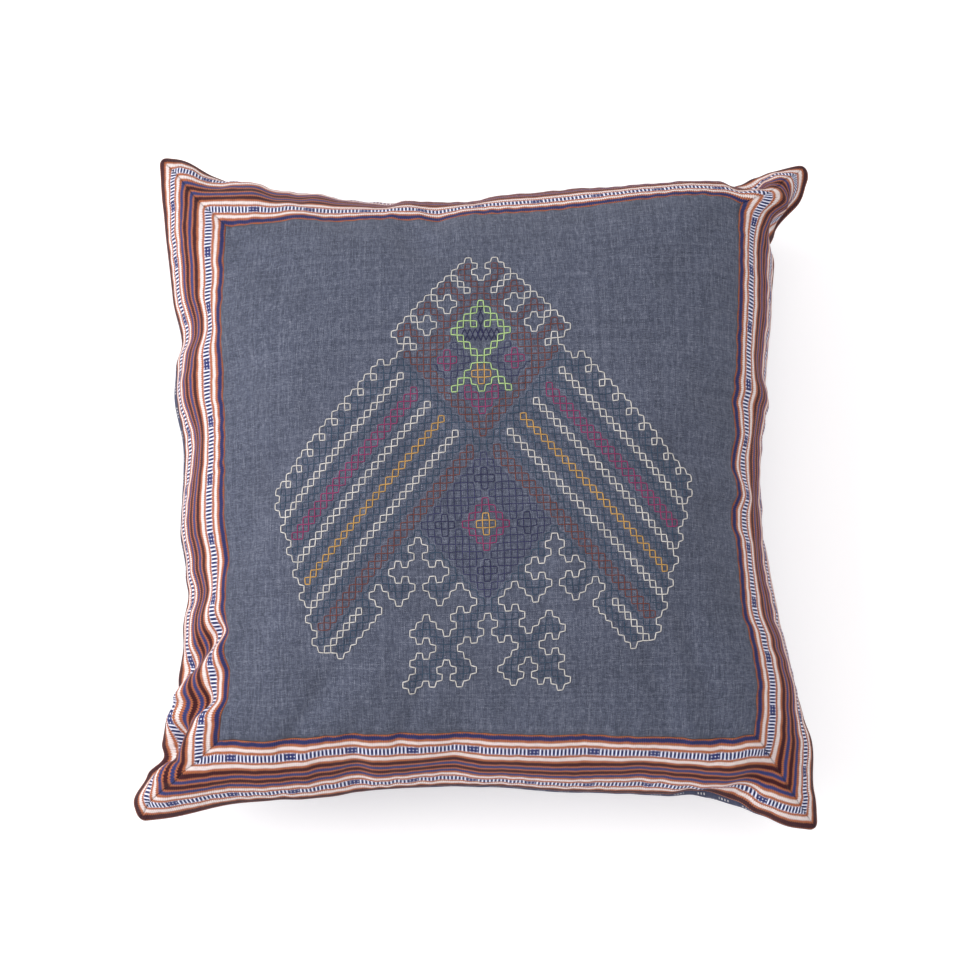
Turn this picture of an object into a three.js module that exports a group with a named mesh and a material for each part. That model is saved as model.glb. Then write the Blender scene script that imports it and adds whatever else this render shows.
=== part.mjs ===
// Filled pillow cover: a square of slub-woven cloth in a mitred frame of striped band cloth, on a plain back.
// The cover lies on its back, plumply filled. Millimetres, +X to the right of the design, +Y to its top, +Z up.
//
// Everything is laid out in the flat cloth first. A point of the cover is (u, v), in millimetres from the middle
// of the flat cloth, and frontCloth(u, v) and backCloth(u, v) say where the filled cover carries that point.

import * as THREE from "three";
import { mergeVertices } from "three/addons/utils/BufferGeometryUtils.js";

// The flat cloth
const HALF_COVER = 250; // from the middle to the seam, before filling
const BORDER = 62; // width of a border strip
const SHEET = 2; // thickness of a front piece with its turnings
const GAP = 0.3; // between neighbouring pieces
const HALF_PANEL = HALF_COVER - BORDER;

// The filled form
const PANEL_MIDDLE = { x: -5.2, y: -2.5 }; // from the middle of the whole outline
const WAIST = { x: 202, y: 208 }; // half widths at the middle of the sides
const CROWN = 96; // top of the front over the seam
const BELLY = 92; // depth of the back under the seam, were it not flattened by what it lies on
const SEAM_HEIGHT = 78; // height of the seam over that surface
const EDGE = 2.6; // half the thickness of the cover at its seam
const SHOULDER = 50; // how much fuller the quarters are than an oval
const EAR_SLACK = 0.35; // share of the height that the filling doesn't reach in the corners
const TUCK_REACH = 55; // how far into the cloth an uneven stretch of seam is felt
const BAND_MIDDLE = 26; // from the seam to where the border's own waves are highest
const BAND_SPREAD = 22;
const PEEK_DEPTH = 15; // how far under the seam the back bulges past it

// The four corners: where the tip lies, how far it stands over the seam's height, and the pull on the panel's
// corner beside it.
const CORNERS = {
  topLeft: { x: -222, y: 247, lift: -6, pullX: 7, pullY: -8 },
  topRight: { x: 247, y: 239, lift: 12, pullX: 6, pullY: 9 },
  bottomLeft: { x: -238, y: -229, lift: -16, pullX: 4, pullY: 4 },
  bottomRight: { x: 231, y: -242, lift: -12, pullX: -4, pullY: 6 },
};

// The uneven sides. At each place along a side: how far the seam stands out, how far the border swells over it,
// and how far the back bulges past the seam.
const SIDES = {
  left: [
    { along: -250, seam: 0, band: 0, back: 0 },
    { along: -232, seam: 3, band: 0, back: 0 },
    { along: -213, seam: -3, band: 1, back: 1 },
    { along: -190, seam: -4, band: 2, back: 2 },
    { along: -156, seam: -6, band: -2, back: 2 },
    { along: -121, seam: -5, band: 4, back: 2 },
    { along: -80, seam: -4, band: -1.5, back: 2 },
    { along: -61, seam: -1, band: 1, back: 3 },
    { along: -28, seam: 3, band: 1, back: 3 },
    { along: 30, seam: 3, band: -2, back: 4 },
    { along: 72, seam: 6, band: 1.5, back: 5 },
    { along: 112, seam: -1, band: -1, back: 3 },
    { along: 143, seam: 3, band: 1, back: 2 },
    { along: 185, seam: 3, band: 2, back: 2 },
    { along: 212, seam: 2, band: 0, back: 1 },
    { along: 250, seam: 0, band: 0, back: 0 },
  ],
  right: [
    { along: -250, seam: 0, band: 0, back: 0 },
    { along: -224, seam: 2, band: 0, back: 1 },
    { along: -187, seam: 8, band: -1, back: 2 },
    { along: -151, seam: 5, band: 3, back: 2 },
    { along: -100, seam: 2, band: 0, back: 2 },
    { along: -59, seam: 0, band: -2, back: 2 },
    { along: -36, seam: -4, band: 1, back: 2 },
    { along: -16, seam: -1, band: -3, back: 2 },
    { along: 3, seam: -5, band: 1.5, back: 2 },
    { along: 28, seam: -1, band: -2, back: 2 },
    { along: 56, seam: 3, band: 1.5, back: 2 },
    { along: 76, seam: 2, band: -2, back: 2 },
    { along: 116, seam: 1, band: 0, back: 2 },
    { along: 174, seam: -2, band: 0, back: 2 },
    { along: 192, seam: -10, band: -1, back: 1 },
    { along: 210, seam: -1, band: 2, back: 1 },
    { along: 230, seam: 6, band: 1, back: 0 },
    { along: 250, seam: 0, band: 0, back: 0 },
  ],
  top: [
    { along: -250, seam: 0, band: 0, back: 0 },
    { along: -228, seam: 4, band: 0, back: 1 },
    { along: -203, seam: -1, band: -1, back: 4 },
    { along: -172, seam: 2, band: 1, back: 6 },
    { along: -133, seam: 1, band: -1.5, back: 4 },
    { along: -117, seam: 2, band: 1.2, back: 2 },
    { along: -95, seam: -2.5, band: -0.5, back: 2 },
    { along: -65, seam: -3, band: -2, back: 2 },
    { along: -47, seam: 0.5, band: 0, back: 2 },
    { along: -28, seam: -2, band: 1.5, back: 2 },
    { along: -8, seam: -3, band: -1.2, back: 2 },
    { along: 28, seam: 3, band: 1, back: 2 },
    { along: 73, seam: 3, band: 1, back: 2 },
    { along: 110, seam: 1, band: 0, back: 2 },
    { along: 147, seam: -2, band: 1, back: 2 },
    { along: 175, seam: -4, band: 2, back: 2 },
    { along: 202, seam: -9, band: -2, back: 1 },
    { along: 222, seam: -4, band: 0, back: 0 },
    { along: 250, seam: 0, band: 0, back: 0 },
  ],
  bottom: [
    { along: -250, seam: 0, band: 0, back: 0 },
    { along: -225, seam: 2, band: 0, back: 1 },
    { along: -180, seam: -1, band: 2.5, back: 3 },
    { along: -109, seam: 2, band: -1, back: 3 },
    { along: -90, seam: 1, band: -2.5, back: 3 },
    { along: -76, seam: 0, band: 1, back: 3 },
    { along: -24, seam: 0, band: -1.8, back: 3 },
    { along: 0, seam: 1, band: 1, back: 3 },
    { along: 60, seam: 4, band: 0.5, back: 3 },
    { along: 110, seam: 3, band: -1, back: 4 },
    { along: 135, seam: 2, band: 0, back: 6 },
    { along: 165, seam: -4, band: 2, back: 8 },
    { along: 190, seam: -4, band: 2.5, back: 9 },
    { along: 225, seam: 4, band: 0, back: 2 },
    { along: 250, seam: 0, band: 0, back: 0 },
  ],
};

// The folds of the front: a crease from one place in the flat cloth to another. A negative depth is a ridge.
const FOLDS = [
  { name: "left side, valley over the corner", from: [-250, -214], to: [-202, -132], width: 11, depth: 9 },
  { name: "left side, ridge beside it", from: [-236, -232], to: [-188, -158], width: 15, depth: -6 },
  { name: "top right corner, pinch at the side", from: [250, 190], to: [226, 197], width: 12, depth: 5 },
  { name: "top right corner, pinch at the top", from: [203, 250], to: [205, 226], width: 12, depth: 5 },
  { name: "top right corner, ridge to the tip", from: [198, 198], to: [226, 226], width: 15, depth: -3 },
  { name: "bottom right corner, tuck", from: [176, -250], to: [206, -206], width: 13, depth: 6 },
  { name: "bottom left corner, ridge to the tip", from: [-204, -204], to: [-228, -228], width: 15, depth: -3 },
  { name: "panel, lower left crease", from: [-136, -192], to: [-90, -124], width: 9, depth: 3 },
  { name: "panel, lower left swell", from: [-112, -192], to: [-72, -140], width: 11, depth: -2 },
  { name: "panel, low crease", from: [-58, -194], to: [-42, -150], width: 8, depth: 2 },
  { name: "panel, lower right crease", from: [162, -188], to: [138, -112], width: 10, depth: 2.5 },
  { name: "panel, lower right inner crease", from: [128, -186], to: [112, -134], width: 9, depth: 2 },
  { name: "panel, upper left crease", from: [-186, 184], to: [-140, 132], width: 12, depth: 2 },
  { name: "panel, upper right crease", from: [186, 180], to: [136, 120], width: 12, depth: 2 },
];

// The mesh
const PANEL_STEPS = 34; // across the panel, and along each border strip
const BORDER_RINGS = 5; // across a border strip
const BACK_STATIONS = [250, 242, 230, 214, 197, 180, 162, 142, 112]; // rings of the back, from the seam inwards
const SECTION_STEPS = 300;
const SLOPE_STEP = 2; // of the flat cloth, to measure which way a surface faces

const FRONT = 1;
const BACK = -1;

// Half a cross-section through the middle: its rise is sqrt(1 - across^3). The returned function takes the share
// of the cloth from the middle to the seam and gives both as shares, so that no cloth is stretched.
function crossSection(halfWidth, height) {
  const rows = [{ length: 0, across: 0, rise: 1 }];
  for (let i = 1; i <= SECTION_STEPS; i++) {
    const across = Math.sin(((i / SECTION_STEPS) * Math.PI) / 2);
    const rise = Math.sqrt(Math.max(0, 1 - across ** 3));
    const last = rows[i - 1];
    const step = Math.hypot((across - last.across) * halfWidth, (rise - last.rise) * height);
    rows.push({ length: last.length + step, across, rise });
  }
  const whole = rows[SECTION_STEPS].length;
  return (share) => {
    const length = Math.min(1, Math.abs(share)) * whole;
    const next = Math.max(1, rows.findIndex((row) => row.length >= length - 1e-9));
    const before = rows[next - 1];
    const after = rows[next];
    const part = (length - before.length) / (after.length - before.length);
    return {
      across: Math.sign(share) * THREE.MathUtils.lerp(before.across, after.across, part),
      rise: THREE.MathUtils.lerp(before.rise, after.rise, part),
    };
  };
}

const SECTIONS = {
  [FRONT]: { x: crossSection(WAIST.x, CROWN), y: crossSection(WAIST.y, CROWN) },
  [BACK]: { x: crossSection(WAIST.x, BELLY), y: crossSection(WAIST.y, BELLY) },
};

// A column of a side's table at any place along it: half a cosine wave from each row to the next.
function waves(rows, column, along) {
  const next = Math.max(1, rows.findIndex((row) => row.along >= along));
  const before = rows[next - 1];
  const after = rows[next];
  const part = (along - before.along) / (after.along - before.along);
  const share = (1 - Math.cos(Math.PI * part)) / 2;
  return before[column] + (after[column] - before[column]) * share;
}

// Each side with its outward direction, and where a point of the cloth lies from its seam and along it.
function sidesAt(u, v) {
  return [
    { rows: SIDES.left, out: [-1, 0], fromSeam: HALF_COVER + u, along: v },
    { rows: SIDES.right, out: [1, 0], fromSeam: HALF_COVER - u, along: v },
    { rows: SIDES.top, out: [0, 1], fromSeam: HALF_COVER - v, along: u },
    { rows: SIDES.bottom, out: [0, -1], fromSeam: HALF_COVER + v, along: u },
  ];
}

// A value at the four corners, spread over the cover in straight proportion.
function acrossCorners(a, b, value) {
  const left = (1 - a) / 2;
  const low = (1 - b) / 2;
  return (
    value(CORNERS.topLeft) * left * (1 - low) +
    value(CORNERS.topRight) * (1 - left) * (1 - low) +
    value(CORNERS.bottomLeft) * left * low +
    value(CORNERS.bottomRight) * (1 - left) * low
  );
}

// The filled form without its folds. Seen from above, a line of cloth across the middle is a cross-section, one
// along a seam is straight, and those between are a mixture. The height joins the two cross-sections' rises r, s
// as r s / (r + s - r s), which is full in the middle and runs out to the seam on every side.
function filledForm(u, v, face) {
  const a = u / HALF_COVER;
  const b = v / HALF_COVER;
  const inX = SECTIONS[face].x(a);
  const inY = SECTIONS[face].y(b);
  const quarter = (a * b) ** 2 * (1 - a ** 4) * (1 - b ** 4) * SHOULDER;
  const pull = 16 * (a * b) ** 2 * (1 - a * a) * (1 - b * b);
  const corner = CORNERS[(b > 0 ? "top" : "bottom") + (a > 0 ? "Right" : "Left")];
  const tipX = acrossCorners(a, b, (c) => Math.abs(c.x));
  const tipY = acrossCorners(a, b, (c) => Math.abs(c.y));
  let x = WAIST.x * inX.across * (1 - b * b) + tipX * a * b * b + quarter * Math.sign(a) + pull * corner.pullX;
  let y = WAIST.y * inY.across * (1 - a * a) + tipY * b * a * a + quarter * Math.sign(b) + pull * corner.pullY;
  for (const side of sidesAt(u, v)) {
    const seam = waves(side.rows, "seam", side.along) * Math.exp(-((side.fromSeam / TUCK_REACH) ** 2));
    const depth = side.fromSeam / PEEK_DEPTH;
    const peek = face === BACK ? waves(side.rows, "back", side.along) * depth * Math.exp(1 - depth) : 0;
    x += side.out[0] * (seam + peek);
    y += side.out[1] * (seam + peek);
  }
  const slack = 1 - EAR_SLACK * (a * b) ** 4;
  const rise = ((inX.rise * inY.rise) / Math.max(1e-9, inX.rise + inY.rise - inX.rise * inY.rise)) * slack;
  const seamHeight = SEAM_HEIGHT + acrossCorners(a, b, (c) => c.lift) * (a * b) ** 4;
  const height = face === FRONT ? EDGE + CROWN * rise : -EDGE - BELLY * rise;
  return new THREE.Vector3(PANEL_MIDDLE.x + x, PANEL_MIDDLE.y + y, Math.max(0, seamHeight + height));
}

// Which way a surface over the flat cloth faces, from its slopes along u and v.
function outward(surface, u, v) {
  const clip = (t) => THREE.MathUtils.clamp(t, -HALF_COVER, HALF_COVER);
  const alongU = surface(clip(u + SLOPE_STEP), v).sub(surface(clip(u - SLOPE_STEP), v));
  const alongV = surface(u, clip(v + SLOPE_STEP)).sub(surface(u, clip(v - SLOPE_STEP)));
  return alongU.cross(alongV).normalize();
}

// How far the front stands over the filled form: the border's waves and the folds, all gone at the seam itself.
function relief(u, v) {
  let height = 0;
  for (const side of sidesAt(u, v)) {
    const bell = Math.exp(-(((side.fromSeam - BAND_MIDDLE) / BAND_SPREAD) ** 2));
    height += waves(side.rows, "band", side.along) * bell;
  }
  for (const fold of FOLDS) {
    const run = new THREE.Line3(new THREE.Vector3(...fold.from, 0), new THREE.Vector3(...fold.to, 0));
    const here = new THREE.Vector3(u, v, 0);
    const away = run.closestPointToPoint(here, true, new THREE.Vector3()).distanceTo(here);
    height -= fold.depth * Math.exp(-((away / fold.width) ** 2));
  }
  const fromSeam = HALF_COVER - Math.max(Math.abs(u), Math.abs(v));
  return height * (1 - Math.exp(-((fromSeam / 8) ** 2)));
}

function frontCloth(u, v) {
  const form = (s, t) => filledForm(s, t, FRONT);
  return form(u, v).addScaledVector(outward(form, u, v), relief(u, v));
}

function backCloth(u, v) {
  return filledForm(u, v, BACK);
}

// The front's surface taken inwards by a depth. At the seam it goes level, so that the edges stay square, and the
// two sides of a mitre go the same way, so that their gap stays even.
function frontInside(u, v, depth) {
  const reach = (Math.abs(u) + Math.abs(v)) / 2;
  const atMitre = Math.abs(Math.abs(u) - Math.abs(v)) < GAP;
  const facing = atMitre ? outward(frontCloth, reach * Math.sign(u), reach * Math.sign(v)) : outward(frontCloth, u, v);
  const atSeam = Math.max(Math.abs(u), Math.abs(v)) > HALF_COVER - 1e-6;
  if (atSeam) facing.setZ(0).normalize();
  return frontCloth(u, v).addScaledVector(facing, -depth);
}

// A closed body from patches. A patch is a grid of points, and its faces look the way that its rows cross its
// columns by the right-hand rule. The faces of a turned patch look the other way. Each square is split towards
// the middle of its row, so that both ends of a border strip run smoothly into the corners.
function closedBody(patches, turnedPatches = []) {
  const corners = [];
  const cut = (patch, turned) => {
    for (let i = 0; i < patch.length - 1; i++) {
      for (let j = 0; j < patch[i].length - 1; j++) {
        const [p, q, r, s] = [patch[i][j], patch[i + 1][j], patch[i + 1][j + 1], patch[i][j + 1]];
        const faces = j < (patch[i].length - 1) / 2 ? [p, q, r, p, r, s] : [p, q, s, q, r, s];
        corners.push(...(turned ? faces.reverse() : faces));
      }
    }
  };
  patches.forEach((patch) => cut(patch, false));
  turnedPatches.forEach((patch) => cut(patch, true));
  return mergeVertices(new THREE.BufferGeometry().setFromPoints(corners), 1e-3);
}

function grid(rows, columns, point) {
  return Array.from({ length: rows + 1 }, (_, i) => Array.from({ length: columns + 1 }, (_, j) => point(i, j)));
}

// A sheet of cloth: its outer face, its inner face a thickness below, and the cut edges between them. Both edges
// at a mitre are split along the same lines, so that they stay parallel.
function sheet(rows, columns, place) {
  const outer = grid(rows, columns, (i, j) => frontInside(...place(i, j), 0));
  const inner = grid(rows, columns, (i, j) => frontInside(...place(i, j), SHEET));
  const acrossEdge = (j) => outer.map((row, i) => [row[j], inner[i][j]]);
  const alongEdge = (i) => outer[i].map((point, j) => [point, inner[i][j]]);
  return closedBody([outer, alongEdge(0), acrossEdge(columns)], [inner, alongEdge(rows), acrossEdge(0)]);
}

// The places of the panel's grid and of a border strip's, which runs out to the seam between its mitres. A piece
// gives up half the gap at the edges that meet a neighbour, and the body under them gives up nothing.
const panelPlace = (gap) => (i, j) => {
  const edge = HALF_PANEL - gap / 2;
  const along = (k) => THREE.MathUtils.clamp(HALF_PANEL * ((2 * k) / PANEL_STEPS - 1), -edge, edge);
  return [along(i), along(j)];
};

const TURNS = { right: [1, 0], top: [0, 1], left: [-1, 0], bottom: [0, -1] };

const stripPlace = (side, gap) => (i, j) => {
  const [c, s] = TURNS[side];
  const ring = HALF_PANEL + (BORDER * i) / BORDER_RINGS;
  const out = Math.max(ring, HALF_PANEL + gap / 2);
  const mitre = out - gap * Math.SQRT1_2;
  const along = THREE.MathUtils.clamp(ring * ((2 * j) / PANEL_STEPS - 1), -mitre, mitre);
  return [out * c - along * s, out * s + along * c];
};

// The filled body: under the front pieces lies a rebate of their thickness, then the seam's edge, then the back.
function filledBody() {
  const depth = SHEET + GAP;
  const patches = [grid(PANEL_STEPS, PANEL_STEPS, (i, j) => frontInside(...panelPlace(0)(i, j), depth))];
  for (const side of Object.keys(TURNS)) {
    const place = stripPlace(side, 0);
    const seamPlace = (j) => place(BORDER_RINGS, j);
    const rebate = (j) => frontInside(...seamPlace(j), depth).add(new THREE.Vector3(0, 0, -GAP));
    const edge = (j) => frontInside(...seamPlace(j), 0).add(new THREE.Vector3(0, 0, -GAP));
    const onBack = (station) => (j) => {
      const [u, v] = seamPlace(j);
      return backCloth((u * station) / HALF_COVER, (v * station) / HALF_COVER);
    };
    patches.push(
      grid(BORDER_RINGS, PANEL_STEPS, (i, j) => (i < BORDER_RINGS ? frontInside(...place(i, j), depth) : rebate(j))),
      grid(1, PANEL_STEPS, (i, j) => (i === 0 ? rebate(j) : edge(j))),
      grid(1, PANEL_STEPS, (i, j) => (i === 0 ? edge(j) : onBack(HALF_COVER)(j))),
      grid(BACK_STATIONS.length - 1, PANEL_STEPS, (i, j) => onBack(BACK_STATIONS[i])(j)),
      grid(1, PANEL_STEPS, (i, j) => (i === 0 ? onBack(BACK_STATIONS.at(-1))(j) : new THREE.Vector3(0, 0, 0))),
    );
  }
  return closedBody(patches);
}

const panelCloth = new THREE.MeshStandardMaterial({ color: 0x5a6076, roughness: 0.9, metalness: 0 });
const bandCloth = new THREE.MeshStandardMaterial({ color: 0x8a5a52, roughness: 0.85, metalness: 0 });
const backWeave = new THREE.MeshStandardMaterial({ color: 0x4c536c, roughness: 0.9, metalness: 0 });

function named(name, geometry, material) {
  const mesh = new THREE.Mesh(geometry, material);
  mesh.name = name;
  return mesh;
}

const cover = new THREE.Group();
cover.add(named("back_panel", filledBody(), backWeave));
cover.add(named("front_panel", sheet(PANEL_STEPS, PANEL_STEPS, panelPlace(GAP)), panelCloth));
for (const side of Object.keys(TURNS)) {
  cover.add(named(`border_${side}`, sheet(BORDER_RINGS, PANEL_STEPS, stripPlace(side, GAP)), bandCloth));
}

export default cover;
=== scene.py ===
# %% [markdown]
# # A filled pillow cover, and how its looks are made
#
# The real object is a square cover with a plump filling. Its front is a square of slub-woven blue-grey cloth with
# a large winged figure stitched on it by counted threads. Round it runs a mitred frame of striped band cloth, and a
# plain slate cloth closes the back.
#
# The solids of the part are loaded first and stay where they are. Every piece made here is laid over one of them,
# in the same frame: metres, +X to the right of the design, +Y to its top, +Z up, lying on its back.

import math

import bpy
import numpy as np
from mathutils import Matrix, Vector


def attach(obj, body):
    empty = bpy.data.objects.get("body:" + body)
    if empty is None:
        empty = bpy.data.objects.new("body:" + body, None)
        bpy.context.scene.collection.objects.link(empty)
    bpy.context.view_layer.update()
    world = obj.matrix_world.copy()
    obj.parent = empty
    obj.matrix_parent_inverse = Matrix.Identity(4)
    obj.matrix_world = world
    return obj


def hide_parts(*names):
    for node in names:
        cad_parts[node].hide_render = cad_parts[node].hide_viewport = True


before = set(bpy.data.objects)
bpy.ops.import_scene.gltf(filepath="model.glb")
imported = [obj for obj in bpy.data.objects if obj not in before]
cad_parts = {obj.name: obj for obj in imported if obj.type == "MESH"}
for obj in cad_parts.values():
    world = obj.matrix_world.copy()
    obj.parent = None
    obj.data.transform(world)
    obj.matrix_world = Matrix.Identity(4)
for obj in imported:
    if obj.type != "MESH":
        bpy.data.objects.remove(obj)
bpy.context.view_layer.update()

# %% [markdown]
# ## The camera
#
# The photograph looks almost straight down, leaning a little to the lower side. A camera is placed by the direction
# from what it looks at, the distance along it, and a small roll round that line. A long lens keeps the sides nearly
# parallel.

# %% Camera
MM = 0.001  # one millimetre in the frame's metres
LEAN_DOWN, LEAN_SIDE, ROLL = (math.radians(angle) for angle in (12.5, -2.5, 1.2))
CAMERA_DISTANCE = 1.8
LOOKED_AT = Vector((-5.2, -2.5, 90.0)) * MM
SENSOR = 36.0
PICTURE = 960  # pixels across
PIXELS_PER_MM = 1.434  # in the plane of what is looked at
LOOKED_AT_PIXEL = (477.0, 484.5)


def put(name, data):
    """A new object in the scene."""
    thing = bpy.data.objects.new(name, data)
    bpy.context.scene.collection.objects.link(thing)
    return thing


east, north = math.sin(LEAN_SIDE), -math.sin(LEAN_DOWN)
backward = Vector((east, north, math.sqrt(1 - east**2 - north**2)))
level_right = Vector((0, 1, 0)).cross(backward).normalized()
level_up = backward.cross(level_right)
right = math.cos(ROLL) * level_right - math.sin(ROLL) * level_up
up = math.sin(ROLL) * level_right + math.cos(ROLL) * level_up

camera_data = bpy.data.cameras.new("camera")
camera_data.sensor_width = SENSOR
camera_data.lens = PIXELS_PER_MM * CAMERA_DISTANCE / MM / PICTURE * SENSOR
camera_data.shift_x = (PICTURE / 2 - LOOKED_AT_PIXEL[0]) / PICTURE
camera_data.shift_y = (LOOKED_AT_PIXEL[1] - PICTURE / 2) / PICTURE
camera = put("camera", camera_data)
turned = Matrix((right, up, backward)).transposed().to_4x4()
camera.matrix_world = Matrix.Translation(LOOKED_AT + backward * CAMERA_DISTANCE) @ turned
bpy.context.scene.camera = camera
print(f"camera: lens {camera_data.lens:.1f} mm, {CAMERA_DISTANCE} m away")

# %% [markdown]
# ## Floor and light
#
# The cover lies on a white table that is lit from below, so hardly any shadow is left on it. The light above is wide
# and soft, a little stronger from the left, and the white world stands in for white walls. A table with no light of
# its own would need a far brighter room, which would bleach the cloth. "Standard" keeps colours as they are mixed.

# %% Floor, light and world
FLOOR_REACH = 30.0  # metres each way
FLOOR_HEIGHT = -0.0005
TABLE = {  # its white, and its own light
    "Base Color": (0.80, 0.79, 0.79, 1.0),
    "Roughness": 0.9,
    "Emission Color": (1.0, 0.965, 0.98, 1.0),
    "Emission Strength": 0.42,
}
LAMPS = {"key": ((-2.0, 0.05, 1.6), 1.6, 46), "fill": ((0.5, 0.8, 2.6), 2.0, 15)}  # place, size in metres, watts
LIT_PLACE = Vector((0, 0, 0.08))
ROOM_LIGHT = 0.68


def fill_in(node, values):
    """Types values into a node's sockets, by their names."""
    for name, value in values.items():
        node.inputs[name].default_value = value


floor_data = bpy.data.meshes.new("floor")
floor_corners = [(x * FLOOR_REACH, y * FLOOR_REACH, FLOOR_HEIGHT) for x, y in ((-1, -1), (1, -1), (1, 1), (-1, 1))]
floor_data.from_pydata(floor_corners, [], [(0, 1, 2, 3)])
floor = put("floor", floor_data)
floor_paint = bpy.data.materials.new("white_sweep")
floor_paint.use_nodes = True
fill_in(floor_paint.node_tree.nodes["Principled BSDF"], TABLE)
floor_data.materials.append(floor_paint)

for name, (place, size, watts) in LAMPS.items():  # square soft lights that face the middle of the cover
    lamp_data = bpy.data.lights.new(name, "AREA")
    lamp_data.size, lamp_data.energy = size, watts
    lamp = put(name, lamp_data)
    lamp.location = place
    lamp.rotation_euler = (LIT_PLACE - Vector(place)).to_track_quat("-Z", "Y").to_euler()

world = bpy.data.worlds.new("white_room")
world.use_nodes = True
fill_in(world.node_tree.nodes["Background"], {"Color": (1, 1, 1, 1), "Strength": ROOM_LIGHT})
bpy.context.scene.world = world
bpy.context.scene.view_settings.view_transform = "Standard"
print("floor, two soft lights and a white room")

# %% [markdown]
# ## The flat cloth and the filled form
#
# A maker cuts flat cloth, and the filling then bends it without stretching it. So every piece here is laid out in
# flat coordinates (u, v), in millimetres from the middle of the cover, and one formula says where the filled cover
# carries each point. A form sculpted by hand wouldn't tell the stripes and stitches where they lie on the cloth. The
# numbers are close to those of the solids; the rolled edges are new here.

# %% Sizes of the cloth and of the form, in millimetres
FRONT, BACK = 1, -1
HALF_COVER = 250.0  # middle to seam, flat
BORDER = 62.0
HALF_PANEL = HALF_COVER - BORDER
PANEL_MIDDLE = (-5.2, -2.5)  # from the middle of the outline
WAIST = (202.0, 208.0)
CROWN, BELLY = 96.0, 92.0
SEAM_HEIGHT = 78.0
EDGE, EDGE_REACH = 2.6, 5.0  # half the thickness a little inside the seam, and how far in it has that
SEAM_EDGE = 0.7  # half the thickness at the seam itself
SHOULDER = 50.0
TIP_RADIUS = 8.0
EAR_SLACK = 0.35
TUCK_REACH = 55.0
BAND_MIDDLE, BAND_SPREAD = 26.0, 22.0
PEEK_DEPTH = 15.0
PANEL_PULL, BORDER_PULL = 36.0, 42.0  # how far a shift of the panel's seam reaches, inwards and outwards
PULL_PEAK = 16  # makes a corner's pull 1 where it is highest, at a^2 = b^2 = 1/2
ROLL_EASE = 35.0
REST_ROUND, REST_SINK = 6.0, 0.5  # how softly the back meets the floor, and how flat it lies on it

CORNERS = {  # by the signs of u and v: where the tip lies, its lift over the seam, the pull on the panel's corner
    (-1, 1): dict(x=224, y=249, lift=-6, pull=(7, -8)),
    (-1, -1): dict(x=237, y=228, lift=-16, pull=(4, 4)),
    (1, 1): dict(x=244, y=234, lift=12, pull=(1, 12)),
    (1, -1): dict(x=232, y=243, lift=-12, pull=(-4, 6)),
}
print("flat cover", 2 * HALF_COVER, "mm square, panel", 2 * HALF_PANEL, "mm, border", BORDER, "mm")

# %% The uneven sides, as columns: place along the side, seam, border swell, back bulge, panel's seam
SIDES = {  # at the corners, every column but the first is 0
    "left": [
        (-232, 6.5, 0, 0, 0), (-214, 2, 1, 0, 0), (-201, -6, 1, 0, 0), (-190, -2, 2, 1, -3), (-172, -1, 1, 1, -5),
        (-157, -6, 0, 0, -7.5), (-138, -3.5, 1, 1, -9), (-121, -4, 2, 2, -7), (-100, -2, 0, 2, -5),
        (-80, -3.5, -1.5, 2, -5), (-61, -0.5, 1, 3, -6), (-28, 4.5, 1, 3, -6), (30, 2, -2, 4, -5.5),
        (72, 6, 1.5, 5, -4), (92, 4.5, 0, 4, -1.5), (112, -1, -1, 3, 0), (143, 3, 1, 2, -2), (185, 3, 2, 2, -2),
        (212, 2, 0, 1, 0),
    ],
    "right": [
        (-224, 3, 0, 1, 0), (-187, 9, -1, 2, -0.5), (-170, 6.5, 0.5, 2, 2), (-151, 5, 3, 2, 3.5),
        (-135, 4.5, 2, 2, 2), (-121, 4, 1, 2, 0), (-100, 2.5, 0, 2, -4), (-59, 0.5, -2, 2, -4), (-36, -2.5, 1, 2, -4),
        (-16, -0.5, -3, 2, -1.5), (3, -3.5, 1.5, 1, -2.5), (28, 1, -2, 2, -2.5), (46, 3, 0, 2, -5),
        (56, 4, 1.5, 2, -3.5), (76, 2.5, -2, 2, -1), (116, 2, 0, 2, -0.5), (166, -2, 0, 2, 0), (182, -0.5, -1, 1, 0),
        (198, 10, 0, 0, 0), (216, 8, 0, 0, 0), (236, 4, 0, 0, 0),
    ],
    "top": [
        (-228, 3, 0, 1, 0), (-203, -1, -1, 3, 0), (-172, -1, 1, 3, -2.5), (-150, -4, 0, 3, -1.5),
        (-133, -1, -1.5, 3, 0), (-117, -0.5, 1.2, 2, -0.5), (-95, -1.5, -0.5, 2, 0), (-65, -1, -2, 2, -1.5),
        (-47, 1, 0, 2, -3), (-28, -1.5, 1.5, 2, -2), (-8, 0.5, -1.2, 2, 0), (28, 4, 1, 2, -1), (73, 4.5, 1, 2, -1.5),
        (110, 2, 0, 2, 0), (147, -2.5, 1, 2, 1.7), (175, -6, 2, 2, 1.5), (188, -7.5, 0, 1.5, -2),
        (200, -5, -2, 1, -2.5), (212, -2, 0, 0, 0), (224, 0, 0, 0, 0), (238, 0.5, 0, 0, 0),
    ],
    "bottom": [
        (-225, 1, 0, 0.5, 0), (-180, -1.5, 2.5, 1, -2), (-150, -0.5, 2.5, 0.5, 0), (-128, 1.5, 0, 0.5, -1),
        (-109, 2, -1.5, 0.5, -4), (-90, 0.5, -2.5, 0.5, -4), (-76, 0, 1, 0.5, -2.5), (-24, 0, -1.8, 1.2, -2.3),
        (0, 0.8, 1, 1.8, -1.8), (60, 3.5, 0.5, 2, -0.7), (95, 2.3, -0.5, 2, 0.8), (110, 1, -1, 2.5, 1.4),
        (135, -0.7, 0, 4, 2.6), (155, -5, 1.5, 6.5, 4.2), (165, -6, 2, 9, 3.5), (188, -4, 2.5, 9, -1),
        (203, 0.5, 2, 5, -3), (225, 3, 0, 1, 0),
    ],
}
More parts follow.
